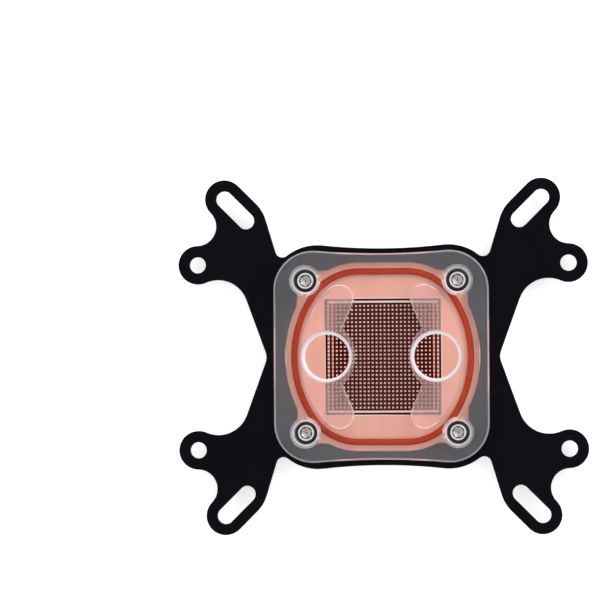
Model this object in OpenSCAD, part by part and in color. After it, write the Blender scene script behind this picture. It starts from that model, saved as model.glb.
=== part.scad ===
// Water block for cooling a processor, lying on its copper face.
// Z = 0 is the face that meets the chip, +Z runs up through the two ports, X joins the ports.

/* [Cold plate] */
// Copper outside the middle of each lid screw
plate_margin = 5.5; // [4.5:0.1:6.5]
// Thickness of the copper plate
plate_t = 4; // [3.6:0.1:6]
// Radius of the plate's corners
plate_corner_r = 3; // [1:0.5:4]
// Ridges along each side of the pin field
ridges = 28; // [12:2:28]
// Distance from one ridge to the next
ridge_pitch = 1.05; // [0.9:0.01:1.05]
// Width of a saw cut between two ridges
saw_cut_w = 0.55; // [0.3:0.01:0.6]
// Depth of the saw cuts
saw_cut_depth = 2.2; // [1:0.1:2.6]

/* [Seal] */
// Width of the squeezed seal cord
cord_w = 1.6; // [1.4:0.1:1.7]
// Height of the squeezed seal cord, and so the depth of its groove
cord_h = 1.3; // [1:0.1:1.4]
// Slack between the cord and the inner wall of its groove
cord_slack = 0.5; // [0.2:0.1:0.8]
// Clearance between the cord and the outer wall of its groove
cord_clearance = 0.02; // [0.01:0.01:0.05]
// Width of the seal's loop, measured between the middles of the cord
loop_w = 45.6; // [45:0.1:46]
// Height of the seal's loop, measured between the middles of the cord
loop_h = 44; // [43.6:0.1:44.2]
// Radius of the loop's four tight bends
loop_bend_r = 14.2; // [13.5:0.1:14.5]
// How far the loop's sides bulge out past its tight bends
loop_side_bulge = 2.4; // [2.1:0.1:2.7]

/* [Mounting bracket] */
// Thickness of the steel bracket
bracket_t = 2; // [1.5:0.1:2.5]
// Spacing of the round holes across the width
round_hole_gap_x = 96; // [95:0.5:97]
// Spacing of the round holes across the height
round_hole_gap_y = 48; // [47.5:0.5:48.5]
// Diameter of the round holes
round_hole_d = 4.2; // [3.5:0.1:5]
// Square spacing of the slots' inner ends
slot_inner_gap = 70.8; // [70:0.2:72]
// Square spacing of the slots' outer ends
slot_outer_gap = 82; // [81:0.5:83]
// Width of the slots
slot_w = 4.3; // [3.5:0.1:5]
// Radius of the ears round the holes and slots
ear_r = 5; // [4.5:0.1:5.5]
// Radius of the hollow between the two ears of an arm
between_ears_r = 5; // [4.8:0.1:6]
// Radius of the hollow under the round ear
under_ear_r = 7.9; // [7:0.1:9]
// Direction from the round ear to the hollow under it, in degrees below the X axis
under_ear_turn = 113.7; // [110:0.1:116]
// Width of the bracket at its waist
waist_w = 60.5; // [60:0.5:62]
// Radius of the waist's hollow
waist_r = 4; // [2:0.5:6]
// Radius of the shoulder on the slot ear's inner side
shoulder_r = 10; // [8:0.5:11]
// Distance of the shoulder from the slot's outer end
shoulder_back = 6.5; // [5.5:0.5:7]
// Height of the bracket at the middle of its long edges
long_edge_h = 56.1; // [55.8:0.1:57]
// Distance between the bulges on a long edge
bulge_gap = 33.9; // [33:0.1:35]
// Height of the bulges' centres above the X axis
bulge_rise = 16.3; // [16:0.1:16.6]
// Radius of the bulges
bulge_r = 12.7; // [12.4:0.1:13]
// Radius of the notch between a bulge and the arm
notch_r = 1.9; // [1.5:0.1:2.2]
// Direction from the bulge's centre to the notch, in degrees above the X axis
notch_turn = 51.8; // [50:0.1:53]
// Room between the seal's middle line and the bracket's window
window_margin = 2.4; // [2.2:0.1:2.5]
// Reach of the window's squared corners past the lid screws, across the width
window_corner_x = 2.6; // [2.4:0.1:2.8]
// Reach of those squared corners past the lid screws, across the height
window_corner_y = 2.9; // [2.7:0.1:3.1]
// Radius of those squared corners
window_corner_r = 1; // [0.6:0.1:1.5]
// Wall of the bracket round each lid screw
screw_ear_wall = 0.6; // [0.5:0.05:0.65]

/* [Clear top] */
// Width of the top
top_w = 55; // [54.5:0.1:56]
// Height of the top at the middle of its hollow long edges
top_h = 52.7; // [52.4:0.1:53.2]
// Thickness of the top above the bracket
top_t = 12; // [11:0.5:14]
// Radius of its corners
top_corner_r = 10; // [8:0.5:10.5]
// Height of the corners' centres above the X axis
top_corner_rise = 17.1; // [17:0.1:17.4]
// Chamfer round the upper edge
top_chamfer = 0.4; // [0.2:0.1:0.8]
// Gap between the boss under the top and the bracket's window
boss_clearance = 0.15; // [0.1:0.05:0.2]
// Distance between the two ports
port_gap = 28; // [27:0.5:29]
// Bore of a port, the inner diameter of its pipe thread
port_bore_d = 11.45; // [11:0.05:11.9]
// Chamfer at the mouth of a port, which widens it to the thread's outer diameter
port_chamfer = 0.87; // [0.6:0.01:1]
// How far the round pocket milled under a port stands back from its bore
port_relief = 0.3; // [0.2:0.05:0.6]
// Depth of the port's bore, down to the ceiling of the water chamber
port_depth = 6; // [4:0.5:8]
// Wall between a water chamber and the seal's middle line
chamber_margin = 2.1; // [1.9:0.1:2.6]
// Distance between the two water chambers at their round ends
chamber_gap = 14.6; // [14:0.1:16]
// Radius of the chambers' round ends
chamber_end_r = 3.6; // [3:0.1:4.2]
// Distance between the points where the chambers' slanted walls meet
chamber_waist_gap = 24.8; // [24:0.1:26]
// Radius at those points
chamber_waist_r = 1; // [0.5:0.1:2]

/* [Lid screws] */
// Distance from the seal's middle line to the middle of each lid screw
screw_margin = 3.5; // [3.4:0.05:3.6]
// Thread diameter
screw_d = 3; // [2.8:0.1:3]
// Height of the screws' tips above the face that meets the chip
tip_recess = 0.6; // [0.3:0.1:1]
// Chamfer at the tip
tip_chamfer = 0.5; // [0.3:0.1:0.7]
// Diameter of the head
head_d = 5.5; // [5:0.1:5.7]
// Height of the head
head_h = 3; // [2.6:0.1:3.2]
// Radius of the head's upper edge
head_edge_r = 0.5; // [0.2:0.1:0.6]
// Size of the hexagon socket across its flats
socket_w = 2.5; // [2:0.1:2.8]
// Depth of the hexagon socket
socket_depth = 1.4; // [1:0.1:1.8]
// Depth of the head's seat below the upper face
seat_depth = 5.4; // [5:0.1:6]
// Gap between the head and its hole in the top
head_clearance = 0.25; // [0.2:0.05:0.4]
// Chamfer at the mouth of that hole
head_chamfer = 1; // [0.4:0.1:1.2]
// Gap between the shank and its hole in the top and the bracket
shank_clearance = 0.1; // [0.05:0.01:0.12]
// Countersink of the tapped hole under the plate
tip_countersink = 0.3; // [0.2:0.1:0.5]
// Gap between the screw's thread and the tapped hole
thread_clearance = 0.03; // [0.02:0.01:0.05]

/* [Hidden] */
// How far a straight stretch of a drawn arc may lie from the true arc
arc_error = 0.01;
// How far a cutting tool runs past the face that it opens
past = 1;
bracket_z = plate_t;
top_z = bracket_z + bracket_t;
face_z = top_z + top_t;
chamber_z = face_z - port_depth;
seat_z = face_z - seat_depth;
field_w = ridges * ridge_pitch + saw_cut_w;
free_pin_w = (ridges - 2) * ridge_pitch + saw_cut_w;
screw_l = seat_z - tip_recess;
shank_hole_d = screw_d + 2 * shank_clearance;
head_hole_d = head_d + 2 * head_clearance;
screw_ear_r = shank_hole_d / 2 + screw_ear_wall;
$fn = 96;

function direction(a) = [cos(a), sin(a)];
function heading(v) = atan2(v[1], v[0]);
function lap(a) = a - 360 * floor(a / 360);
function clamped(x) = max(-1, min(1, x));
function arc_step(r) = 2 * acos(1 - arc_error / abs(r));

// An outline is a list of rings, each [centre, radius], with a taut line run round them anticlockwise.
// A ring with a radius below zero hollows the outline, and rings that touch blend with no straight.
function straight_normal(a, b) = heading(b[0] - a[0]) - acos(clamped((a[1] - b[1]) / norm(b[0] - a[0])));
function swept(a, b, r) = r > 0 ? lap(b - a + 1) - 1 : 1 - lap(a - b + 1);
function ring_arc(r, from, turn) =
    let (steps = max(1, ceil(abs(turn) / arc_step(r[1]))))
    [for (i = [0:steps]) r[0] + r[1] * direction(from + turn * i / steps)];
function distinct(points) =
    let (n = len(points))
    [for (i = [0:n - 1]) if (norm(points[i] - points[(i + 1) % n]) > arc_error / 4) points[i]];
function outline(rings) =
    let (n = len(rings), leave = [for (i = [0:n - 1]) straight_normal(rings[i], rings[(i + 1) % n])])
    distinct([for (i = [0:n - 1])
        let (from = leave[(i + n - 1) % n])
        each ring_arc(rings[i], from, swept(from, leave[i], rings[i][1]))]);

// The outline moved inward by d, and one raised to height z
function moved_in(points, d) =
    let (n = len(points))
    [for (i = [0:n - 1])
        let (along = points[(i + 1) % n] - points[(i + n - 1) % n])
        points[i] + d * [-along[1], along[0]] / norm(along)];
function raised(points, z) = [for (p = points) [p[0], p[1], z]];
// Faces of the band between two raised outlines of n points, numbered from low and from high
function band(n, low, high) = [for (i = [0:n - 1]) [low + i, high + i, high + (i + 1) % n, low + (i + 1) % n]];

function flipped_x(rings) = [for (i = [len(rings) - 1:-1:0]) [[-rings[i][0][0], rings[i][0][1]], rings[i][1]]];
function flipped_y(rings) = [for (i = [len(rings) - 1:-1:0]) [[rings[i][0][0], -rings[i][0][1]], rings[i][1]]];
// All four quarters of an outline, from the rings of one quarter and those on the X and Y axes
function four_quarters(on_x, quarter, on_y) =
    let (upper = concat(quarter, on_y, flipped_x(quarter)))
    concat(on_x, upper, flipped_x(on_x), flipped_y(upper));

// Centre of a ring that lies at distance da from a and db from b, on the right of the way from a to b
function meeting(a, da, b, db) =
    let (d = norm(b - a), along = (d * d + da * da - db * db) / (2 * d), u = (b - a) / d)
    a + along * u + sqrt(max(0, da * da - along * along)) * [u[1], -u[0]];

// The middle line of the seal, moved outward by grow
loop_side_reach = loop_w / 2 - loop_bend_r;
loop_bend = [loop_side_reach - loop_side_bulge, loop_h / 2 - loop_bend_r];
loop_side_x = (loop_side_reach * loop_side_reach - loop_bend * loop_bend) / (2 * loop_side_bulge);
loop_side_r = loop_w / 2 - loop_side_x;
function loop_rings(grow) =
    four_quarters([[[loop_side_x, 0], loop_side_r + grow]], [[loop_bend, loop_bend_r + grow]], []);
loop_line = outline(loop_rings(0));

// A hollow ring on the Y axis that ends a long edge's bulges at (x, y) of radius r, at half height edge
function long_edge_ring(x, y, r, edge) =
    let (rise = edge - y, hollow_r = (x * x + rise * rise - r * r) / (2 * (r - rise)))
    [[0, edge + hollow_r], -hollow_r];

// Where the diagonal X = Y leaves a circle of radius r round c
function on_diagonal(c, r) = (c[0] + c[1] + sqrt(2 * r * r - pow(c[0] - c[1], 2))) / 2 * [1, 1];
screw_at = on_diagonal(loop_bend, loop_bend_r + screw_margin);
plate_w = 2 * (screw_at[0] + plate_margin);

round_hole = [round_hole_gap_x / 2, round_hole_gap_y / 2];
slot_inner = [slot_inner_gap / 2, slot_inner_gap / 2];
slot_outer = [slot_outer_gap / 2, slot_outer_gap / 2];
slot_turn = heading(slot_outer);
port_at = [port_gap / 2, 0];
bulge = [bulge_gap / 2, bulge_rise];
shoulder = slot_outer - shoulder_back * direction(slot_turn)
    + (shoulder_r - ear_r) * direction(slot_turn - 90);
bracket_quarter = [
    [round_hole + (ear_r + under_ear_r) * direction(-under_ear_turn), -under_ear_r],
    [round_hole, ear_r],
    [meeting(round_hole, ear_r + between_ears_r, slot_outer, ear_r + between_ears_r), -between_ears_r],
    [slot_outer, ear_r],
    [shoulder, shoulder_r],
    [bulge + (bulge_r + notch_r) * direction(notch_turn), -notch_r],
    [bulge, bulge_r]
];
bracket_rings = four_quarters(
    [[[waist_w / 2 + waist_r, 0], -waist_r]],
    bracket_quarter,
    [long_edge_ring(bulge[0], bulge[1], bulge_r, long_edge_h / 2)]);

top_corner = [top_w / 2 - top_corner_r, top_corner_rise];
top_rings = four_quarters([], [[top_corner, top_corner_r]],
    [long_edge_ring(top_corner[0], top_corner[1], top_corner_r, top_h / 2)]);

// A water chamber on the right: the seal's loop moved inward, two round ends and a waist at the port
chamber_bend_r = loop_bend_r - chamber_margin;
chamber_end_x = chamber_gap / 2 + chamber_end_r;
chamber_end_y = loop_bend[1]
    + sqrt(pow(chamber_bend_r - chamber_end_r, 2) - pow(chamber_end_x - loop_bend[0], 2));
chamber_upper = [[loop_bend, chamber_bend_r], [[chamber_end_x, chamber_end_y], chamber_end_r]];
chamber_rings = concat(
    [[[loop_side_x, 0], loop_side_r - chamber_margin]],
    chamber_upper,
    [[[chamber_waist_gap / 2, 0], -chamber_waist_r]],
    flipped_y(chamber_upper));

module at_corners(p) {
    for (x = [-p[0], p[0]], y = [-p[1], p[1]])
        translate([x, y]) children();
}

module rounded_square(w, h, r) {
    polygon(outline(four_quarters([], [[[w / 2 - r, h / 2 - r], r]], [])));
}

// The hole in the bracket that the top's boss reaches through, made smaller by shrink
module window(shrink = 0) {
    side = 2 * (screw_at - window_corner_r * [1, 1]);
    corner = 2 * (screw_at + [window_corner_x, window_corner_y]);
    difference() {
        union() {
            polygon(outline(loop_rings(window_margin - shrink)));
            rounded_square(corner[0] - 2 * shrink, side[1] - 2 * shrink, window_corner_r);
            rounded_square(side[0] - 2 * shrink, corner[1] - 2 * shrink, window_corner_r);
        }
        at_corners(screw_at) circle(screw_ear_r + shrink);
    }
}

// A plate of the given outline whose upper edge is chamfered
module chamfered_plate(points, height, chamfer) {
    n = len(points);
    polyhedron(
        concat(raised(points, 0), raised(points, height - chamfer), raised(moved_in(points, chamfer), height)),
        concat([[for (i = [0:n - 1]) i]], band(n, 0, n), band(n, n, 2 * n),
            [[for (i = [n - 1:-1:0]) 2 * n + i]]));
}

// Crossing saw cuts that leave rows of square pins inside a frame of one unbroken ridge
module pin_field_cuts() {
    translate([0, 0, plate_t - saw_cut_depth]) linear_extrude(saw_cut_depth + past) {
        difference() {
            square(field_w, center = true);
            square(field_w - 2 * saw_cut_w, center = true);
        }
        for (i = [1:ridges - 1], turned = [0, 90])
            rotate(turned) translate([(i - ridges / 2) * ridge_pitch, 0])
                square([saw_cut_w, free_pin_w], center = true);
    }
}

module cold_plate() {
    color("#c8806a") difference() {
        linear_extrude(plate_t) rounded_square(plate_w, plate_w, plate_corner_r);
        pin_field_cuts();
        at_corners(screw_at) {
            translate([0, 0, -past]) cylinder(h = plate_t + 2 * past, d = screw_d + 2 * thread_clearance);
            mirror([0, 0, 1]) mouth(0, screw_d, tip_countersink);
        }
    }
}

// The cord's section, a circle that the groove and the plate press flat above and below
cord_side_turn = asin(cord_h / cord_w);
cord_side_steps = 5;
cord_section = [for (side = [0, 180], i = [0:cord_side_steps])
    cord_w / 2 * direction(side + cord_side_turn * (2 * i / cord_side_steps - 1))];

module seal_ring() {
    n = len(loop_line);
    m = len(cord_section);
    color("#c8402a") translate([0, 0, plate_t + cord_h / 2]) polyhedron(
        [for (p = cord_section) each raised(moved_in(loop_line, -p[0]), p[1])],
        [for (k = [0:m - 1]) each band(n, k * n, (k + 1) % m * n)]);
}

module mounting_bracket() {
    color("#1a1820") translate([0, 0, bracket_z]) linear_extrude(bracket_t) difference() {
        polygon(outline(bracket_rings));
        window();
        at_corners(screw_at) circle(d = shank_hole_d);
        at_corners(round_hole) circle(d = round_hole_d);
        for (turned = [0:90:270])
            rotate(slot_turn + turned) slot();
    }
}

// A slot that points at the middle of the bracket
module slot() {
    for (p = [slot_inner, slot_outer])
        translate([norm(p), 0]) circle(d = slot_w);
    translate([norm(slot_inner), -slot_w / 2]) square([norm(slot_outer - slot_inner), slot_w]);
}

module clear_top() {
    color("#e8e4ec", 0.35) difference() {
        union() {
            translate([0, 0, top_z]) chamfered_plate(outline(top_rings), top_t, top_chamfer);
            translate([0, 0, plate_t]) linear_extrude(bracket_t + past) window(boss_clearance);
        }
        seal_groove();
        for (side = [-1, 1])
            scale([side, 1, 1]) water_way();
        at_corners(screw_at) {
            translate([0, 0, plate_t - past]) cylinder(h = face_z, d = shank_hole_d);
            translate([0, 0, seat_z]) cylinder(h = face_z, d = head_hole_d);
            mouth(face_z, head_hole_d, head_chamfer);
        }
    }
}

// A cone that chamfers the mouth of a hole of diameter d in a face at height z
module mouth(z, d, chamfer) {
    translate([0, 0, z - chamfer]) cylinder(h = chamfer + past, d1 = d, d2 = d + 2 * (chamfer + past));
}

module seal_groove() {
    translate([0, 0, plate_t - past]) linear_extrude(cord_h + past) difference() {
        polygon(moved_in(loop_line, -cord_w / 2 - cord_clearance));
        polygon(moved_in(loop_line, cord_w / 2 + cord_slack));
    }
}

// The right-hand port and the water chamber that it opens into
module water_way() {
    translate([0, 0, plate_t - past]) linear_extrude(chamber_z - plate_t + past) {
        polygon(outline(chamber_rings));
        translate(port_at) circle(d = port_bore_d + 2 * port_relief);
    }
    translate(port_at) {
        translate([0, 0, chamber_z - past]) cylinder(h = port_depth + 2 * past, d = port_bore_d);
        mouth(face_z, port_bore_d, port_chamfer);
    }
}

module lid_screw() {
    thread_r = screw_d / 2;
    translate([0, 0, seat_z]) difference() {
        rotate_extrude() polygon(concat(
            [[0, -screw_l], [thread_r - tip_chamfer, -screw_l], [thread_r, tip_chamfer - screw_l]],
            [[thread_r, 0], [head_d / 2, 0]],
            ring_arc([[head_d / 2 - head_edge_r, head_h - head_edge_r], head_edge_r], 0, 90),
            [[0, head_h]]));
        translate([0, 0, head_h - socket_depth])
            cylinder(h = socket_depth + past, d = socket_w / cos(30), $fn = 6);
    }
}

module lid_screws() {
    color("#c9c9c6") at_corners(screw_at) lid_screw();
}

cold_plate();
seal_ring();
mounting_bracket();
clear_top();
lid_screws();
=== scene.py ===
import math

import bmesh
import bpy
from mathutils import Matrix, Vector


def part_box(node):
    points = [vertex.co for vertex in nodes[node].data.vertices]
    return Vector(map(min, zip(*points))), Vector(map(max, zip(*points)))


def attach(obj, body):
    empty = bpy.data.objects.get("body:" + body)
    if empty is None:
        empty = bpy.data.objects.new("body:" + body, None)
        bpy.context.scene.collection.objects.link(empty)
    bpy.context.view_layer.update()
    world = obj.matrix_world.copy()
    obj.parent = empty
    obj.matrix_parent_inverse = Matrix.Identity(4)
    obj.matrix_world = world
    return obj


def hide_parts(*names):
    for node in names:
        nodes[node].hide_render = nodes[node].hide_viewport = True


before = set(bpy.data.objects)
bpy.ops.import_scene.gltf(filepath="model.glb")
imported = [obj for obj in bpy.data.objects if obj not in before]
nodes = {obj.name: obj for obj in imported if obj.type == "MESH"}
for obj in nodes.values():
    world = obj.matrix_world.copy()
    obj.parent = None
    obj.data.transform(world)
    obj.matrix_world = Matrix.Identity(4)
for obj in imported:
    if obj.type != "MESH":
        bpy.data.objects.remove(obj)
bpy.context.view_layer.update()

scene = bpy.context.scene
mm = 0.001

cameraSet = {
    "place": (0.0359, -0.0057, 0.950),
    "turn": (1.2228, 3.4825, -0.3139),      # degrees, nearly straight down
    "lens": 219.1,
}


def makeCamera(s):
    data = bpy.data.cameras.new("studioCamera")
    data.lens = s["lens"]
    data.sensor_width = 36
    data.clip_start, data.clip_end = 0.01, 20
    camera = bpy.data.objects.new("studioCamera", data)
    camera.location = s["place"]
    camera.rotation_euler = [math.radians(a) for a in s["turn"]]
    scene.collection.objects.link(camera)
    scene.camera = camera


makeCamera(cameraSet)
print("camera is set")


# Short ways to place nodes, link them and build a group
def put(tree, kind, **values):
    node = tree.nodes.new(kind)
    for key, value in values.items():
        if hasattr(node, key):
            setattr(node, key, value)
        else:
            node.inputs[key.replace("_", " ")].default_value = value
    return node


def wire(tree, *pairs):
    for source, target in pairs:
        tree.links.new(source, target)


def newGroup(name, inputs, outputs):
    group = bpy.data.node_groups.new(name, "ShaderNodeTree")
    for label, kind, value in inputs:
        group.interface.new_socket(label, in_out="INPUT", socket_type=kind).default_value = value
    for label, kind in outputs:
        group.interface.new_socket(label, in_out="OUTPUT", socket_type=kind)
    return group, group.nodes.new("NodeGroupInput"), group.nodes.new("NodeGroupOutput")


def useGroup(tree, group, **values):
    node = tree.nodes.new("ShaderNodeGroup")
    node.node_tree = group
    for key, value in values.items():
        node.inputs[key].default_value = value
    return node


def newMaterial(name):
    material = bpy.data.materials.new(name)
    material.use_nodes = True
    tree = material.node_tree
    tree.nodes.clear()
    return material, tree, tree.nodes.new("ShaderNodeOutputMaterial")


def mixColor(tree, factor, a, b):
    node = tree.nodes.new("ShaderNodeMix")
    node.data_type = "RGBA"
    for socket, value in ((node.inputs[0], factor), (node.inputs[6], a), (node.inputs[7], b)):
        if isinstance(value, bpy.types.NodeSocket):
            tree.links.new(value, socket)
        else:
            socket.default_value = value
    return node.outputs[2]


def remap(tree, source, low, high, toLow, toHigh):
    node = put(tree, "ShaderNodeMapRange")
    for i, value in ((1, low), (2, high), (3, toLow), (4, toHigh)):
        node.inputs[i].default_value = value
    tree.links.new(source, node.inputs[0])
    return node.outputs[0]


# Even grain of powder coat, moulded rubber or plating, with slow patches under it
def makeGrainGroup():
    group, gin, gout = newGroup(
        "fineGrain",
        [("Scale", "NodeSocketFloat", 2500.0), ("Patch Scale", "NodeSocketFloat", 70.0)],
        [("Height", "NodeSocketFloat"), ("Patches", "NodeSocketFloat")])
    where = put(group, "ShaderNodeTexCoord")
    fine = put(group, "ShaderNodeTexNoise", Detail=3.0)
    wide = put(group, "ShaderNodeTexNoise", Detail=2.0)
    wire(group, (where.outputs["Object"], fine.inputs["Vector"]), (where.outputs["Object"], wide.inputs["Vector"]),
         (gin.outputs["Scale"], fine.inputs["Scale"]), (gin.outputs["Patch Scale"], wide.inputs["Scale"]),
         (fine.outputs[0], gout.inputs["Height"]), (wide.outputs[0], gout.inputs["Patches"]))
    return group


# Straight marks of a milling cutter, long along Y and short along X
def makeStreakGroup():
    group, gin, gout = newGroup(
        "cutterStreaks",
        [("Across", "NodeSocketFloat", 2200.0), ("Along", "NodeSocketFloat", 30.0),
         ("Band Across", "NodeSocketFloat", 260.0)],
        [("Streaks", "NodeSocketFloat"), ("Bands", "NodeSocketFloat")])
    where = put(group, "ShaderNodeTexCoord")
    fineStretch = put(group, "ShaderNodeCombineXYZ")
    fineSpace = put(group, "ShaderNodeVectorMath", operation="MULTIPLY")
    fine = put(group, "ShaderNodeTexNoise", Scale=1.0, Detail=4.0)
    bandStretch = put(group, "ShaderNodeCombineXYZ", Y=9.0, Z=9.0)
    bandSpace = put(group, "ShaderNodeVectorMath", operation="MULTIPLY")
    band = put(group, "ShaderNodeTexNoise", Scale=1.0, Detail=2.0)
    wire(group, (gin.outputs["Across"], fineStretch.inputs[0]), (gin.outputs["Along"], fineStretch.inputs[1]),
         (gin.outputs["Along"], fineStretch.inputs[2]),
         (where.outputs["Object"], fineSpace.inputs[0]), (fineStretch.outputs[0], fineSpace.inputs[1]),
         (fineSpace.outputs[0], fine.inputs["Vector"]),
         (gin.outputs["Band Across"], bandStretch.inputs[0]),
         (where.outputs["Object"], bandSpace.inputs[0]), (bandStretch.outputs[0], bandSpace.inputs[1]),
         (bandSpace.outputs[0], band.inputs["Vector"]),
         (fine.outputs[0], gout.inputs["Streaks"]), (band.outputs[0], gout.inputs["Bands"]))
    return group


# Rings of a turning or fly-cutting tool round one centre
def makeRingGroup():
    group, gin, gout = newGroup(
        "toolRings",
        [("Centre", "NodeSocketVector", (0.0, 0.0, 0.0)), ("Rings Per Metre", "NodeSocketFloat", 2000.0),
         ("Waver", "NodeSocketFloat", 1.0)],
        [("Rings", "NodeSocketFloat")])
    where = put(group, "ShaderNodeTexCoord")
    shift = put(group, "ShaderNodeVectorMath", operation="SUBTRACT")
    rings = put(group, "ShaderNodeTexWave", wave_type="RINGS", rings_direction="Z", Detail=2.0)
    rings.inputs["Detail Scale"].default_value = 0.6
    perWave = put(group, "ShaderNodeMath", operation="MULTIPLY")
    perWave.inputs[1].default_value = math.pi / 10      # the wave texture's own rings per unit of scale
    wire(group, (where.outputs["Object"], shift.inputs[0]), (gin.outputs["Centre"], shift.inputs[1]),
         (shift.outputs[0], rings.inputs["Vector"]), (gin.outputs["Rings Per Metre"], perWave.inputs[0]),
         (perWave.outputs[0], rings.inputs["Scale"]), (gin.outputs["Waver"], rings.inputs["Distortion"]),
         (rings.outputs[1], gout.inputs["Rings"]))
    return group


grainGroup = makeGrainGroup()
streakGroup = makeStreakGroup()
ringGroup = makeRingGroup()


# Short ways to make a piece
def addPiece(name, mesh, slotName, *replaced):
    piece = bpy.data.objects.new(name, mesh)
    scene.collection.objects.link(piece)
    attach(piece, "root")
    if replaced:
        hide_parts(*replaced)
    return piece


def nodeCopy(nodeName):
    bm = bmesh.new()
    bm.from_mesh(nodes[nodeName].data)
    bmesh.ops.remove_doubles(bm, verts=bm.verts, dist=0.001 * mm)
    bmesh.ops.dissolve_limit(bm, angle_limit=math.radians(0.3), verts=bm.verts, edges=bm.edges)
    bm.normal_update()
    return bm


def closeMesh(bm, name, sharpAngle, materials):
    mesh = bpy.data.meshes.new(name)
    bm.to_mesh(mesh)
    bm.free()
    if "custom_normal" in mesh.attributes:
        mesh.attributes.remove(mesh.attributes["custom_normal"])
    for material in materials:
        mesh.materials.append(material)
    mesh.shade_smooth()
    mesh.set_sharp_from_angle(angle=math.radians(sharpAngle))
    return mesh


# Quads between two rows of vertices, closed round when loop is true
def skinRows(bm, rows, loop=True, material=0):
    for low, high in zip(rows, rows[1:]):
        n = len(low)
        for i in range(n if loop else n - 1):
            j = (i + 1) % n
            bm.faces.new((low[i], low[j], high[j], high[i])).material_index = material


def around(n, turn=0.0):
    return [turn + 2 * math.pi * i / n for i in range(n)]


bracketSet = {
    "color": (0.0026, 0.0017, 0.0040, 1),
    "patchColor": (0.0036, 0.0025, 0.0052, 1),
    "specular": 0.045,
    "roughness": (0.36, 0.46),
    "edgeRadius": 0.22 * mm,
}


def powderCoat(s):
    material, tree, out = newMaterial("blackPowderCoat")
    grain = useGroup(tree, grainGroup, Scale=3200.0)
    shader = put(tree, "ShaderNodeBsdfPrincipled")
    shader.inputs["Specular IOR Level"].default_value = s["specular"]
    bump = put(tree, "ShaderNodeBump", Strength=0.25, Distance=0.04 * mm)
    wire(tree, (mixColor(tree, grain.outputs["Patches"], s["color"], s["patchColor"]), shader.inputs["Base Color"]),
         (remap(tree, grain.outputs["Patches"], 0.3, 0.7, *s["roughness"]), shader.inputs["Roughness"]),
         (grain.outputs["Height"], bump.inputs["Height"]), (bump.outputs[0], shader.inputs["Normal"]),
         (shader.outputs[0], out.inputs[0]))
    return material


def makeBracket(s):
    bm = nodeCopy("mounting_bracket")
    mesh = closeMesh(bm, "bracketSheet", 40, [powderCoat(s)])
    piece = addPiece("bracketSheet", mesh, "black_steel", "mounting_bracket")
    bevel = piece.modifiers.new("softEdges", "BEVEL")
    bevel.width = s["edgeRadius"]
    bevel.segments = 3
    bevel.limit_method = "ANGLE"
    bevel.angle_limit = math.radians(50)
    bevel.miter_outer = "MITER_ARC"
    normals = piece.modifiers.new("evenFaces", "WEIGHTED_NORMAL")
    normals.keep_sharp = False


makeBracket(bracketSet)
print("bracket is made")

plateSet = {
    "face": {"color": (0.93, 0.510, 0.412, 1), "band": (0.90, 0.475, 0.378, 1), "roughness": (0.44, 0.54)},
    "underside": {"color": (0.73, 0.33, 0.25, 1), "band": (0.665, 0.290, 0.215, 1), "roughness": (0.30, 0.40)},
    # tips: a lighter copy of the face copper, a painted highlight on the pin tops
    "tips": {"color": (1.0, 0.80, 0.73, 1), "band": (1.0, 0.71, 0.63, 1), "roughness": (0.42, 0.52)},
    # sawn: the cut walls and floors darken from the rim colour to the floor colour with depth, painted shade in the
    # narrow saw cuts
    "sawn": {"rim": (0.90, 0.36, 0.28, 1), "floor": (0.15, 0.020, 0.017, 1), "shadeFromDepth": 0.10 * mm,
             "shadeFullDepth": 0.95 * mm, "roughness": (0.46, 0.62)},
    "top": 4.0 * mm,
    "edgeBevel": 0.28 * mm,
    "flyCutter": {"centre": (-0.055, 0.012, 0.0), "ringsPerMetre": 1100.0, "waver": 0.8},
}


def milledCopper(s):
    material, tree, out = newMaterial("milledCopper")
    marks = useGroup(tree, streakGroup, Across=2600.0, Along=25.0)
    shader = put(tree, "ShaderNodeBsdfPrincipled", Metallic=1.0)
    bump = put(tree, "ShaderNodeBump", Strength=0.10, Distance=0.02 * mm)
    tone = remap(tree, marks.outputs["Bands"], 0.35, 0.65, 0, 1)
    wire(tree, (mixColor(tree, tone, s["color"], s["band"]), shader.inputs["Base Color"]),
         (remap(tree, marks.outputs["Streaks"], 0.3, 0.7, *s["roughness"]), shader.inputs["Roughness"]),
         (marks.outputs["Streaks"], bump.inputs["Height"]), (bump.outputs[0], shader.inputs["Normal"]),
         (shader.outputs[0], out.inputs[0]))
    return material


def flyCutCopper(s, cutter):
    material, tree, out = newMaterial("flyCutCopper")
    arcs = useGroup(tree, ringGroup, **{"Centre": cutter["centre"], "Rings Per Metre": cutter["ringsPerMetre"],
                                        "Waver": cutter["waver"]})
    fineArcs = useGroup(tree, ringGroup, **{"Centre": cutter["centre"],
                                            "Rings Per Metre": 6 * cutter["ringsPerMetre"], "Waver": 1.0})
    grain = useGroup(tree, grainGroup, **{"Patch Scale": 120.0})
    shader = put(tree, "ShaderNodeBsdfPrincipled", Metallic=1.0)
    bump = put(tree, "ShaderNodeBump", Strength=0.22, Distance=0.02 * mm)
    toned = mixColor(tree, remap(tree, arcs.outputs[0], 0.2, 0.8, 0, 0.6), s["color"], s["band"])
    wire(tree, (mixColor(tree, remap(tree, grain.outputs["Patches"], 0.35, 0.7, 0, 0.7), toned, s["band"]),
                shader.inputs["Base Color"]),
         (remap(tree, arcs.outputs[0], 0.1, 0.9, *s["roughness"]), shader.inputs["Roughness"]),
         (fineArcs.outputs[0], bump.inputs["Height"]), (bump.outputs[0], shader.inputs["Normal"]),
         (shader.outputs[0], out.inputs[0]))
    return material


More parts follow.
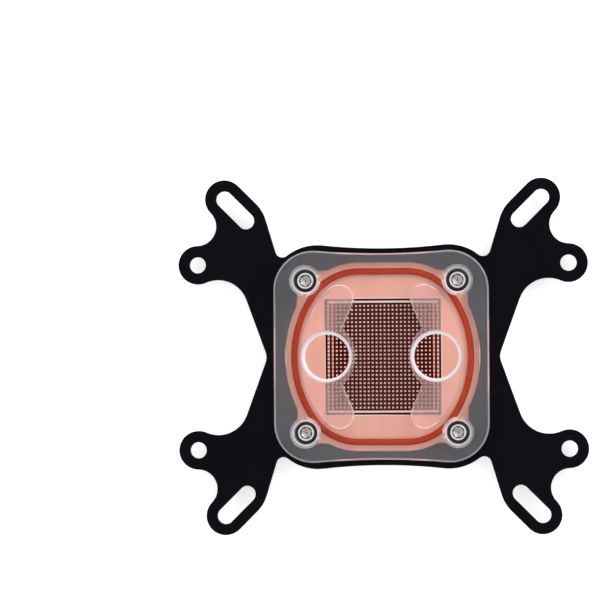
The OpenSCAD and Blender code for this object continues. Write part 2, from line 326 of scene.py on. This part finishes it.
def sawnCopperPaintedShade(s, top):
    material, tree, out = newMaterial("sawnCopperPaintedShade")
    grain = useGroup(tree, grainGroup, Scale=4000.0)
    where = put(tree, "ShaderNodeTexCoord")
    split = put(tree, "ShaderNodeSeparateXYZ")
    shader = put(tree, "ShaderNodeBsdfPrincipled", Metallic=1.0)
    bump = put(tree, "ShaderNodeBump", Strength=0.2, Distance=0.02 * mm)
    wire(tree, (where.outputs["Object"], split.inputs[0]))
    # Painted shade: the deeper a point lies in the saw cuts, the nearer its colour is to the dark floor colour
    depth = remap(tree, split.outputs[2], top - s["shadeFullDepth"], top - s["shadeFromDepth"], 1, 0)
    wire(tree, (mixColor(tree, depth, s["rim"], s["floor"]), shader.inputs["Base Color"]),
         (remap(tree, grain.outputs["Height"], 0.3, 0.7, *s["roughness"]), shader.inputs["Roughness"]),
         (grain.outputs["Height"], bump.inputs["Height"]), (bump.outputs[0], shader.inputs["Normal"]),
         (shader.outputs[0], out.inputs[0]))
    return material


fieldSet = {
    "ridges": 28,
    "pitch": 1.05 * mm,
    "cut": 0.55 * mm,
    "floor": 1.8 * mm,
    "runOut": {1: 0.45 * mm, 3: 0.34 * mm, 5: 0.95 * mm},    # depth of the cross cuts at the outer ridges
    "tipChamfer": 0.06 * mm,
    "burr": 0.26 * mm,                      # lip that the saw leaves round the field, painted bright in the tips' lighter copper as a painted highlight
}


def fieldLines(s):
    lines = []
    for i in range(s["ridges"] + 1):
        middle = (i - s["ridges"] / 2) * s["pitch"]
        lines += [middle - s["cut"] / 2, middle + s["cut"] / 2]
    return lines


# Height of one cell between the field's lines: even cells are saw cuts and odd cells are ridges
def cellHeight(s, top, i, j, last):
    if i in (0, last) or j in (0, last):
        return s["floor"]
    if i % 2 and j % 2 or j in (1, last - 1):
        return top
    if i % 2:
        return top - s["runOut"].get(min(i, last - i), top - s["floor"])
    return s["floor"]


def makePinField(s, plate, materials):
    bm = bmesh.new()
    lines = fieldLines(s)
    last = len(lines) - 2
    top = plate["top"]
    tipFinish, cutFinish = 0, 1

    def quad(points, finish):
        bm.faces.new([bm.verts.new(p) for p in points]).material_index = finish

    def heightAt(i, j):
        return cellHeight(s, top, i, j, last) if 0 <= i <= last and 0 <= j <= last else top

    for i in range(last + 1):
        for j in range(last + 1):
            x0, x1, y0, y1 = lines[i], lines[i + 1], lines[j], lines[j + 1]
            z = heightAt(i, j)
            free = z == top and 1 < i < last - 1 and 1 < j < last - 1
            c = s["tipChamfer"] if free else 0.0
            quad([(x0 + c, y0 + c, z), (x1 - c, y0 + c, z), (x1 - c, y1 - c, z), (x0 + c, y1 - c, z)],
                 tipFinish if z == top else cutFinish)
            corners = [(x0, y0), (x1, y0), (x1, y1), (x0, y1)]
            inner = [(x0 + c, y0 + c), (x1 - c, y0 + c), (x1 - c, y1 - c), (x0 + c, y1 - c)]
            beside = [heightAt(i, j - 1), heightAt(i + 1, j), heightAt(i, j + 1), heightAt(i - 1, j)]
            for k in range(4):
                a, b = corners[k], corners[(k + 1) % 4]
                if c:
                    quad([(*a, z - c), (*b, z - c), (*inner[(k + 1) % 4], z), (*inner[k], z)], cutFinish)
                if beside[k] < z - c:
                    quad([(*a, beside[k]), (*b, beside[k]), (*b, z - c), (*a, z - c)], cutFinish)
            for k, (di, dj) in enumerate(((0, -1), (1, 0), (0, 1), (-1, 0))):
                outside = not (0 <= i + di <= last and 0 <= j + dj <= last)
                if outside:
                    a, b = corners[(k + 1) % 4], corners[k]
                    quad([(*a, z), (*b, z), (*b, top), (*a, top)], cutFinish)
    # The lip is painted in the tips' lighter copper, a painted highlight round the field
    lip = top + 0.004 * mm
    for sign in (-1, 1):
        near, far = sign * lines[-1], sign * (lines[-1] + s["burr"])
        quad([(near, lines[0], lip), (far, lines[0], lip), (far, lines[-1], lip), (near, lines[-1], lip)], tipFinish)
        quad([(lines[0], near, lip), (lines[-1], near, lip), (lines[-1], far, lip), (lines[0], far, lip)], tipFinish)
    bmesh.ops.remove_doubles(bm, verts=bm.verts, dist=0.002 * mm)
    mesh = closeMesh(bm, "pinField", 30, materials)
    return addPiece("pinField", mesh, "copper")


def makePlate(s, field):
    bm = nodeCopy("cold_plate")
    half = fieldLines(field)[-1] + 0.005 * mm
    sawn = [f for f in bm.faces if f.calc_center_median().z > 1.5 * mm
            and max(max(abs(v.co.x), abs(v.co.y)) for v in f.verts) < half]
    bmesh.ops.delete(bm, geom=sawn, context="FACES")
    bm.normal_update()
    low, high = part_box("cold_plate")
    rim = [e for e in bm.edges if len(e.link_faces) == 2
           and all(max(abs(v.co.x), abs(v.co.y)) > high.x - 3.2 * mm
                   and (abs(v.co.x) > high.x - 0.9 * mm or abs(v.co.y) > high.y - 0.9 * mm) for v in e.verts)
           and e.calc_face_angle(0) > math.radians(50)]
    bmesh.ops.bevel(bm, geom=rim, offset=s["edgeBevel"], segments=3, profile=0.5, affect="EDGES")
    bm.normal_update()
    for face in bm.faces:
        face.material_index = 1 if face.normal.z < -0.3 else 0
    finishes = [milledCopper(s["face"]), flyCutCopper(s["underside"], s["flyCutter"])]
    addPiece("copperPlate", closeMesh(bm, "copperPlate", 30, finishes), "copper", "cold_plate")
    # The pin tips get a lighter copy of the face copper: a painted highlight
    tips = milledCopper(s["tips"])
    tips.name = "pinTipPaintedHighlightCopper"
    makePinField(field, s, [tips, sawnCopperPaintedShade(s["sawn"], s["top"])])


makePlate(plateSet, fieldSet)
print("copper plate and pins are made")

sealSet = {
    "color": (0.440, 0.031, 0.005, 1),
    "worn": (0.500, 0.044, 0.010, 1),
    "sideCentre": -5.275 * mm, "sideR": 28.075 * mm,
    "bend": (6.2 * mm, 7.8 * mm), "bendR": 14.2 * mm,
    "width": 1.6 * mm, "height": 1.3 * mm, "z": 4.65 * mm,
    "squareness": 2.6,                      # 2 is an ellipse, more is a flatter squeezed cord
}


def siliconeRubber(s):
    material, tree, out = newMaterial("orangeSilicone")
    grain = useGroup(tree, grainGroup, Scale=1800.0)
    shader = put(tree, "ShaderNodeBsdfPrincipled")
    shader.inputs["Specular IOR Level"].default_value = 0.15
    bump = put(tree, "ShaderNodeBump", Strength=0.15, Distance=0.03 * mm)
    wire(tree, (mixColor(tree, grain.outputs["Patches"], s["color"], s["worn"]), shader.inputs["Base Color"]),
         (remap(tree, grain.outputs["Height"], 0.3, 0.7, 0.45, 0.60), shader.inputs["Roughness"]),
         (grain.outputs["Height"], bump.inputs["Height"]), (bump.outputs[0], shader.inputs["Normal"]),
         (shader.outputs[0], out.inputs[0]))
    return material


# Points and outward directions of the seal's middle line, all the way round
def sealLine(s):
    blend = math.atan2(s["bend"][1], s["bend"][0] - s["sideCentre"])
    quarter = [((s["sideCentre"], 0.0), s["sideR"], blend * i / 24) for i in range(24)]
    quarter += [(s["bend"], s["bendR"], blend + (math.pi / 2 - blend) * i / 20) for i in range(21)]
    upper = [(c[0] + r * math.cos(a), c[1] + r * math.sin(a), a) for c, r, a in quarter]
    upper += [(-x, y, math.pi - a) for x, y, a in reversed(upper)]
    return upper + [(-x, -y, a + math.pi) for x, y, a in upper[1:-1]]


def makeSeal(s):
    bm = bmesh.new()
    rows = []
    for x, y, a in sealLine(s):
        row = []
        for t in around(20):
            c, d = math.cos(t), math.sin(t)
            out = s["width"] / 2 * math.copysign(abs(c) ** (2 / s["squareness"]), c)
            up = s["height"] / 2 * math.copysign(abs(d) ** (2 / s["squareness"]), d)
            row.append(bm.verts.new((x + out * math.cos(a), y + out * math.sin(a), s["z"] + up)))
        rows.append(row)
    skinRows(bm, rows + rows[:1])
    bmesh.ops.recalc_face_normals(bm, faces=bm.faces)
    addPiece("sealCord", closeMesh(bm, "sealCord", 60, [siliconeRubber(s)]), "silicone", "seal_ring")


makeSeal(sealSet)
print("seal is made")

screwSet = {
    "color": (0.86, 0.85, 0.83, 1),
    "shadeColor": (0.70, 0.69, 0.67, 1),
    # Near black: painted shade on the head's rounded rim, knurled side and seat, the socket mouth and the drill
    # point
    "paintedShadeColor": (0.040, 0.040, 0.044, 1),
    # A darker copy of the plated steel: painted shade in the hex socket
    "socketShadeColor": (0.58, 0.53, 0.50, 1),
    "roughness": (0.40, 0.56),
    "seatZ": 12.6 * mm, "headTop": 15.6 * mm, "tipZ": 0.6 * mm, "solidHeadR": 2.75 * mm,
    "headR": 2.82 * mm, "landR": 2.04 * mm, "rimDrop": 0.42 * mm,
    "socketW": 2.5 * mm, "socketDepth": 1.4 * mm, "drillPoint": 0.45 * mm,
    "teeth": 36, "knurlDepth": 0.10 * mm,
    "threadR": 1.5 * mm, "threadDepth": 0.29 * mm, "pitch": 0.5 * mm, "rowsPerPitch": 8,
    "tipR": 1.05 * mm, "tipDish": 0.12 * mm,
    "turns": (0, 17, 48, 31),               # degrees, how far each screw was tightened
}


def platedSteel(s, name, color, shade):
    material, tree, out = newMaterial(name)
    grain = useGroup(tree, grainGroup, **{"Scale": 5200.0, "Patch Scale": 900.0})
    rings = useGroup(tree, ringGroup, **{"Rings Per Metre": 5500.0, "Waver": 0.4})
    shader = put(tree, "ShaderNodeBsdfPrincipled", Metallic=1.0)
    height = put(tree, "ShaderNodeMath", operation="ADD")
    bump = put(tree, "ShaderNodeBump", Strength=0.35, Distance=0.02 * mm)
    wire(tree, (mixColor(tree, remap(tree, grain.outputs["Patches"], 0.35, 0.65, 0, 1), color, shade),
                shader.inputs["Base Color"]),
         (remap(tree, grain.outputs["Height"], 0.3, 0.7, *s["roughness"]), shader.inputs["Roughness"]),
         (grain.outputs["Height"], height.inputs[0]), (rings.outputs[0], height.inputs[1]),
         (height.outputs[0], bump.inputs["Height"]), (bump.outputs[0], shader.inputs["Normal"]),
         (shader.outputs[0], out.inputs[0]))
    return material


def makeScrewMesh(s):
    bm = bmesh.new()
    angles = around(2 * s["teeth"])

    def ring(radius, z):
        return [bm.verts.new((radius(i, a) * math.cos(a), radius(i, a) * math.sin(a), z))
                for i, a in enumerate(angles)]

    def even(r):
        return lambda i, a: r

    def hexagon(i, a):
        off = (a + math.pi / 6) % (math.pi / 3) - math.pi / 6
        return s["socketW"] / 2 / math.cos(off)

    def knurl(i, a):
        return s["headR"] - (s["knurlDepth"] if i % 2 else 0.0)

    top, seat = s["headTop"], s["seatZ"]
    bottom = top - s["socketDepth"]
    point = [ring(even(0.20 * mm), bottom - s["drillPoint"])]
    socket = point + [ring(even(1.12 * mm), bottom - 0.08 * mm), ring(hexagon, bottom)]
    land = [ring(even(1.60 * mm), top), ring(even(s["landR"] - 0.05 * mm), top),
            ring(even(s["landR"]), top - 0.03 * mm)]
    mouth = [socket[-1], ring(hexagon, top - 0.16 * mm), land[0]]
    # The drill point at the socket's bottom takes the near-black painted shade
    bm.faces.new(point[0]).material_index = 1
    rim = []
    for k in range(1, 5):
        a = math.pi / 2 * k / 5
        wide, drop = s["headR"] - s["landR"], s["rimDrop"] - 0.03 * mm
        rim.append(ring(even(s["landR"] + wide * math.sin(a)), top - 0.03 * mm - drop * (1 - math.cos(a))))
    side = [ring(even(s["headR"]), top - s["rimDrop"]), ring(knurl, top - s["rimDrop"] - 0.12 * mm),
            ring(knurl, seat + 0.42 * mm), ring(even(s["headR"]), seat + 0.30 * mm),
            ring(even(s["headR"]), seat + 0.10 * mm), ring(even(s["headR"] - 0.10 * mm), seat)]
    neck = [ring(even(s["threadR"]), seat), ring(even(s["threadR"] - 0.04 * mm), seat - 0.20 * mm)]

    step = s["pitch"] / s["rowsPerPitch"]
    threadTop, threadEnd = seat - 0.30 * mm, s["tipZ"]
    thread = []
    for k in range(int((threadTop - threadEnd) / step) + 1):
        z = threadTop - k * step
        nearTip = s["tipR"] + (z - threadEnd)

        def flank(i, a):
            phase = (z / s["pitch"] - a / (2 * math.pi)) % 1.0
            v = max(0.0, min(1.0, abs(2 * phase - 1) * 1.5 - 0.25))
            run = min(1.0, (threadTop - z) / s["pitch"] + 0.15)
            return min(s["threadR"] - s["threadDepth"] * v * run, nearTip)

        thread.append(ring(flank, z))
    end = [ring(even(s["tipR"] - 0.02 * mm), threadEnd), ring(even(s["tipR"] * 0.72), threadEnd),
           ring(even(s["tipR"] * 0.5), threadEnd + s["tipDish"]), ring(even(0.05 * mm), threadEnd + s["tipDish"])]
    skinRows(bm, socket, material=2)
    skinRows(bm, mouth, material=1)
    skinRows(bm, land)
    skinRows(bm, land[-1:] + rim + side, material=1)
    skinRows(bm, side[-1:] + neck + thread + end)
    bm.faces.new(list(reversed(end[-1])))
    bmesh.ops.recalc_face_normals(bm, faces=bm.faces)
    finishes = [platedSteel(s, "platedSteel", s["color"], s["shadeColor"]),
                platedSteel(s, "paintedShadeSteel", s["paintedShadeColor"], s["paintedShadeColor"]),
                platedSteel(s, "socketShadeSteel", s["socketShadeColor"], s["shadeColor"])]
    return closeMesh(bm, "lidScrew", 35, finishes)


def makeScrews(s):
    low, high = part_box("lid_screws")
    away = high.x - s["solidHeadR"]
    mesh = makeScrewMesh(s)
    places = [(-away, away), (away, away), (-away, -away), (away, -away)]
    for k, (place, turn) in enumerate(zip(places, s["turns"])):
        screw = addPiece("lidScrew%d" % (k + 1), mesh, "plated_steel", "lid_screws")
        screw.location = (*place, 0)
        screw.rotation_euler.z = math.radians(turn)


makeScrews(screwSet)
print("lid screws are made")

# Each finish of the acrylic: how much light passes clear, how rough it is, and what a lamp's light loses in it
acrylicSet = {
    "polished": {"tint": (0.992, 0.985, 0.995, 1), "clear": 1.0, "roughness": (0.0, 0.02), "shade": 0.97},
    "edge": {"tint": (0.92, 0.90, 0.95, 1), "clear": 0.80, "roughness": (0.20, 0.26), "shade": 0.90},
    "flange": {"tint": (0.95, 0.885, 0.96, 1), "clear": 0.945, "roughness": (0.30, 0.34), "shade": 0.90},
    "boss": {"tint": (0.99, 0.975, 0.98, 1), "clear": 0.995, "roughness": (0.01, 0.03), "shade": 0.97},
    # chamber and ceilingEdge: pink tint, a painted copper glow in the frosted ceilings
    "chamber": {"tint": (1.0, 0.80, 0.775, 1), "clear": 0.905, "roughness": (0.215, 0.25), "shade": 0.92},
    "groove": {"tint": (0.98, 0.96, 0.96, 1), "clear": 0.995, "roughness": (0.02, 0.04), "shade": 0.95},
    "thread": {"tint": (0.78, 0.735, 0.765, 1), "clear": 0.35, "roughness": (0.35, 0.45), "shade": 0.85},
    "threadCrest": {"tint": (0.90, 0.865, 0.88, 1), "clear": 0.30, "roughness": (0.30, 0.40), "shade": 0.90},
    "ceilingEdge": {"tint": (0.97, 0.855, 0.85, 1), "clear": 0.62, "roughness": (0.20, 0.26), "shade": 0.92},
    # drilled: grey tint, painted shade on the walls and seats of the screw bores
    "drilledShadedWall": {"tint": (0.60, 0.585, 0.61, 1), "clear": 0.93, "roughness": (0.18, 0.26), "shade": 0.85},
    "countersink": {"tint": (0.92, 0.895, 0.935, 1), "clear": 0.78, "roughness": (0.22, 0.27), "shade": 0.88},
    # brightRing: the lower band of each screw mouth, made more diffuse than the band above it, a painted highlight
    "brightRing": {"tint": (0.94, 0.915, 0.945, 1), "clear": 0.45, "roughness": (0.25, 0.30), "shade": 0.88},
}
acrylicIor = 1.49


def acrylic(name, s):
    material, tree, out = newMaterial(name + "Acrylic")
    marks = useGroup(tree, grainGroup, **{"Scale": 6000.0, "Patch Scale": 160.0})
    shader = put(tree, "ShaderNodeBsdfPrincipled", IOR=acrylicIor)
    shader.inputs["Base Color"].default_value = s["tint"]
    shader.inputs["Transmission Weight"].default_value = s["clear"]
    bump = put(tree, "ShaderNodeBump", Strength=0.02 if s["clear"] == 1 else 0.05, Distance=0.004 * mm)
    see = put(tree, "ShaderNodeBsdfTransparent")
    see.inputs[0].default_value = (s["shade"],) * 3 + (1,)
    rays = put(tree, "ShaderNodeLightPath")
    mix = put(tree, "ShaderNodeMixShader")
    wire(tree, (remap(tree, marks.outputs["Patches"], 0.3, 0.7, *s["roughness"]), shader.inputs["Roughness"]),
         (marks.outputs["Height"], bump.inputs["Height"]), (bump.outputs[0], shader.inputs["Normal"]),
         (rays.outputs["Is Shadow Ray"], mix.inputs[0]), (shader.outputs[0], mix.inputs[1]),
         (see.outputs[0], mix.inputs[2]), (mix.outputs[0], out.inputs[0]))
    return material


topSet = {
    "screwAt": 19.49 * mm, "screwMouthR": 4.05 * mm,
    "portX": 14 * mm, "portMouthR": 6.6 * mm, "boreR": 5.725 * mm, "chamferZ": 17.13 * mm,
    "threadDepth": 0.80 * mm, "pitch": 1.337 * mm, "rowsPerPitch": 14, "threadStart": 12.5 * mm,
    "bossZ": 4.0 * mm, "grooveZ": 5.3 * mm, "flangeZ": 6.0 * mm, "ceilingZ": 12.0 * mm, "seatZ": 12.6 * mm,
    "topZ": 18.0 * mm, "ceilingChamfer": 0.17 * mm, "ceilingChamferReach": 13.8 * mm,
    "bayX": 16.4 * mm, "bayR": 9.36 * mm, "bayBackX": 14.5 * mm, "crestWidth": 0.45 * mm,
    "brightRingTop": 17.40 * mm,
    "airGap": 0.02 * mm,                    # film of air between pressed faces, so that none share a plane
}


def acrylicFinish(s, face):
    centre, up = face.calc_center_median(), face.normal.z
    z = centre.z
    screwAway = math.hypot(abs(centre.x) - s["screwAt"], abs(centre.y) - s["screwAt"])
    if screwAway < s["screwMouthR"] and z < s["topZ"] - 0.01 * mm and up > -0.9:
        if 0.3 < up < 0.95:
            return "brightRing" if z < s["brightRingTop"] else "countersink"
        return "drilledShadedWall"
    if up < -0.9:
        for name, level in (("chamber", s["ceilingZ"]), ("flange", s["flangeZ"]), ("groove", s["grooveZ"])):
            if z > level - 0.3 * mm:
                return name
        return "boss"
    if abs(up) < 0.5 and z < s["ceilingZ"] and max(abs(centre.x), abs(centre.y)) < 24.9 * mm:
        return "chamber" if z > s["flangeZ"] else "groove"
    if 0.2 < up < 0.95:
        return "edge"
    return "polished"


# The end mill also swept an arc round each port, which leaves a shallow bay in the chamber's waist
def millPortBays(bm, s):
    block = bpy.data.objects.new("block", closeMesh(bm, "block", 32, []))
    scene.collection.objects.link(block)
    reach = math.acos((s["bayX"] - s["bayBackX"]) / s["bayR"])
    cutters = []
    for side in (-1, 1):
        tool = bmesh.new()
        rows = []
        for z in (s["bossZ"] - 1 * mm, s["ceilingZ"]):
            turns = [reach * (2 * k / 64 - 1) for k in range(65)]
            rows.append([tool.verts.new((side * (s["bayX"] - s["bayR"] * math.cos(a)), s["bayR"] * math.sin(a), z))
                         for a in turns])
        skinRows(tool, rows)
        for row in rows:
            tool.faces.new(row)
        bmesh.ops.recalc_face_normals(tool, faces=tool.faces)
        cutter = bpy.data.objects.new("cutter", closeMesh(tool, "cutter", 32, []))
        scene.collection.objects.link(cutter)
        cut = block.modifiers.new("cut", "BOOLEAN")
        cut.operation, cut.solver, cut.object = "DIFFERENCE", "EXACT", cutter
        cutters.append(cutter)
    milled = bmesh.new()
    milled.from_mesh(block.evaluated_get(bpy.context.evaluated_depsgraph_get()).to_mesh())
    for spare in [block] + cutters:
        bpy.data.objects.remove(spare)
    bmesh.ops.remove_doubles(milled, verts=milled.verts, dist=0.002 * mm)
    bmesh.ops.dissolve_limit(milled, angle_limit=math.radians(0.3), verts=milled.verts, edges=milled.edges)
    milled.normal_update()
    return milled


# A pipe thread cut into the bore of one port, bridged to the open rims of the block
def cutPortThread(bm, s, side, finish, crestFinish):
    middle = Vector((side * s["portX"], 0, 0))

    def away(p):
        return math.hypot(p.x - middle.x, p.y)

    wall = [f for f in bm.faces if s["ceilingZ"] + 0.01 * mm < f.calc_center_median().z < s["topZ"] - 0.01 * mm
            and all(away(v.co) < s["portMouthR"] + 0.05 * mm for v in f.verts)]
    bmesh.ops.delete(bm, geom=wall, context="FACES")
    rims = [e for e in bm.edges if e.is_boundary and away(e.verts[0].co) < s["portMouthR"] + 0.05 * mm]
    lowRim = [e for e in rims if e.verts[0].co.z < s["ceilingZ"] + 1 * mm]
    highRim = [e for e in rims if e.verts[0].co.z > s["topZ"] - 1 * mm]
    low, high = s["ceilingZ"] + 0.05 * mm, s["topZ"] - 0.03 * mm
    count = round((high - low) / s["pitch"] * s["rowsPerPitch"])
    rows = []
    for k in range(count + 1):
        z = low + (high - low) * k / count
        cone = s["boreR"] + max(0.0, z - s["chamferZ"])
        grown = max(0.0, min(1.0, (z - s["threadStart"]) / s["pitch"]))
        row = []
        for a in around(96):
            phase = (z / s["pitch"] - a / (2 * math.pi)) % 1.0
            v = 0.5 - 0.5 * math.cos(2 * math.pi * phase)
            r = max(cone, s["boreR"] + s["threadDepth"] * grown * v ** 0.8)
            row.append(bm.verts.new(middle + Vector((r * math.cos(a), r * math.sin(a), z))))
        rows.append(row)
    before = set(bm.faces)
    skinRows(bm, rows)
    for rim, row in ((lowRim, rows[0]), (highRim, rows[-1])):
        edges = [bm.edges.get((row[i], row[(i + 1) % len(row)])) for i in range(len(row))]
        bmesh.ops.bridge_loops(bm, edges=rim + edges)
    for face in set(bm.faces) - before:
        near = away(face.calc_center_median()) < s["boreR"] + s["crestWidth"]
        face.material_index = crestFinish if near else finish


def makeTop(s):
    bm = millPortBays(nodeCopy("clear_top"), s)
    names = list(acrylicSet)
    mouths = [f for f in bm.faces if acrylicFinish(s, f) in ("brightRing", "countersink")]
    cut = mouths + list({e for f in mouths for e in f.edges}) + list({v for f in mouths for v in f.verts})
    bmesh.ops.bisect_plane(bm, geom=cut, plane_co=(0, 0, s["brightRingTop"]), plane_no=(0, 0, 1))
    bm.normal_update()
    for face in bm.faces:
        face.material_index = names.index(acrylicFinish(s, face))
    corner = [e for e in bm.edges if len(e.link_faces) == 2
              and any(math.hypot(abs(v.co.x) - s["bayX"], v.co.y) > s["bayR"] + 0.01 * mm for v in e.verts)
              and all(abs(v.co.z - s["ceilingZ"]) < 0.001 * mm and abs(v.co.x) < s["ceilingChamferReach"]
                      for v in e.verts)
              and min(f.normal.z for f in e.link_faces) < -0.9
              and all(f.calc_center_median().z < s["ceilingZ"] + 0.001 * mm for f in e.link_faces)
              and abs(sum(f.normal.z for f in e.link_faces) + 1) < 0.1]
    chamfer = bmesh.ops.bevel(bm, geom=corner, offset=s["ceilingChamfer"], segments=1, profile=0.5, affect="EDGES")
    for face in chamfer["faces"]:
        face.material_index = names.index("ceilingEdge")
    for side in (-1, 1):
        cutPortThread(bm, s, side, names.index("thread"), names.index("threadCrest"))
    for vert in bm.verts:
        z = vert.co.z
        if any(abs(z - s[level]) < 0.001 * mm for level in ("bossZ", "grooveZ", "flangeZ")):
            vert.co.z += s["airGap"]
        elif abs(z - s["seatZ"]) < 0.001 * mm:
            vert.co.z -= s["airGap"]
    bmesh.ops.recalc_face_normals(bm, faces=bm.faces)
    print("open edges in the top:", sum(1 for e in bm.edges if not e.is_manifold))
    mesh = closeMesh(bm, "acrylicBlock", 32, [acrylic(name, acrylicSet[name]) for name in names])
    addPiece("acrylicBlock", mesh, "clear_acrylic", "clear_top")


makeTop(topSet)
print("clear top is made")

floorSet = {"half": 6.0, "drop": 0.2 * mm, "color": (0.86, 0.86, 0.865, 1), "glow": 0.55}
worldSet = {"color": (0.86, 0.86, 0.87, 1), "zenith": (0.03, 0.03, 0.03, 1), "patch": (0.983, 0.9945)}
lampSet = {
    "key": {"place": (0.66, 0.50, 0.76), "size": 0.50, "power": 4.2},
    "fill": {"place": (-0.85, -0.10, 0.60), "size": 0.70, "power": 1.4},
    "back": {"place": (0.10, 0.95, 0.60), "size": 0.60, "power": 1.6},
}


def makeFloor(s):
    mesh = bpy.data.meshes.new("studioFloor")
    h = s["half"]
    mesh.from_pydata([(-h, -h, 0), (h, -h, 0), (h, h, 0), (-h, h, 0)], [], [(0, 1, 2, 3)])
    floor = bpy.data.objects.new("studioFloor", mesh)
    floor.location.z = -s["drop"]
    scene.collection.objects.link(floor)
    material, tree, out = newMaterial("paleFloor")
    shader = put(tree, "ShaderNodeBsdfPrincipled", Roughness=0.7)
    shader.inputs["Base Color"].default_value = s["color"]
    shader.inputs["Specular IOR Level"].default_value = 0.2
    rays = put(tree, "ShaderNodeLightPath")
    direct = put(tree, "ShaderNodeMath", operation="MAXIMUM")
    seen = put(tree, "ShaderNodeMath", operation="MAXIMUM")
    glow = put(tree, "ShaderNodeMath", operation="MULTIPLY")
    glow.inputs[1].default_value = s["glow"]
    light = put(tree, "ShaderNodeEmission")
    both = put(tree, "ShaderNodeAddShader")
    wire(tree, (rays.outputs["Is Camera Ray"], direct.inputs[0]), (rays.outputs["Is Glossy Ray"], direct.inputs[1]),
         (direct.outputs[0], seen.inputs[0]), (rays.outputs["Is Transmission Ray"], seen.inputs[1]),
         (seen.outputs[0], glow.inputs[0]), (glow.outputs[0], light.inputs["Strength"]),
         (shader.outputs[0], both.inputs[0]), (light.outputs[0], both.inputs[1]), (both.outputs[0], out.inputs[0]))
    mesh.materials.append(material)


# An even pale world, with a small dark patch overhead for the polished top to mirror, as it mirrors a camera
def makeWorld(s):
    world = bpy.data.worlds.new("studioWorld")
    scene.world = world
    world.use_nodes = True
    tree = world.node_tree
    tree.nodes.clear()
    out = put(tree, "ShaderNodeOutputWorld")
    back = put(tree, "ShaderNodeBackground")
    where = put(tree, "ShaderNodeTexCoord")
    split = put(tree, "ShaderNodeSeparateXYZ")
    wire(tree, (where.outputs["Generated"], split.inputs[0]))
    overhead = remap(tree, split.outputs[2], *s["patch"], 0, 1)
    wire(tree, (mixColor(tree, overhead, s["color"], s["zenith"]), back.inputs[0]), (back.outputs[0], out.inputs[0]))


def makeLamps(lamps):
    for name, s in lamps.items():
        data = bpy.data.lights.new(name + "Lamp", "AREA")
        data.size = s["size"]
        data.energy = s["power"]
        lamp = bpy.data.objects.new(name + "Lamp", data)
        lamp.location = s["place"]
        lamp.rotation_euler = (-Vector(s["place"])).to_track_quat("-Z", "Y").to_euler()
        scene.collection.objects.link(lamp)


makeFloor(floorSet)
makeWorld(worldSet)
makeLamps(lampSet)
scene.view_settings.view_transform = "Standard"
print("studio is lit")
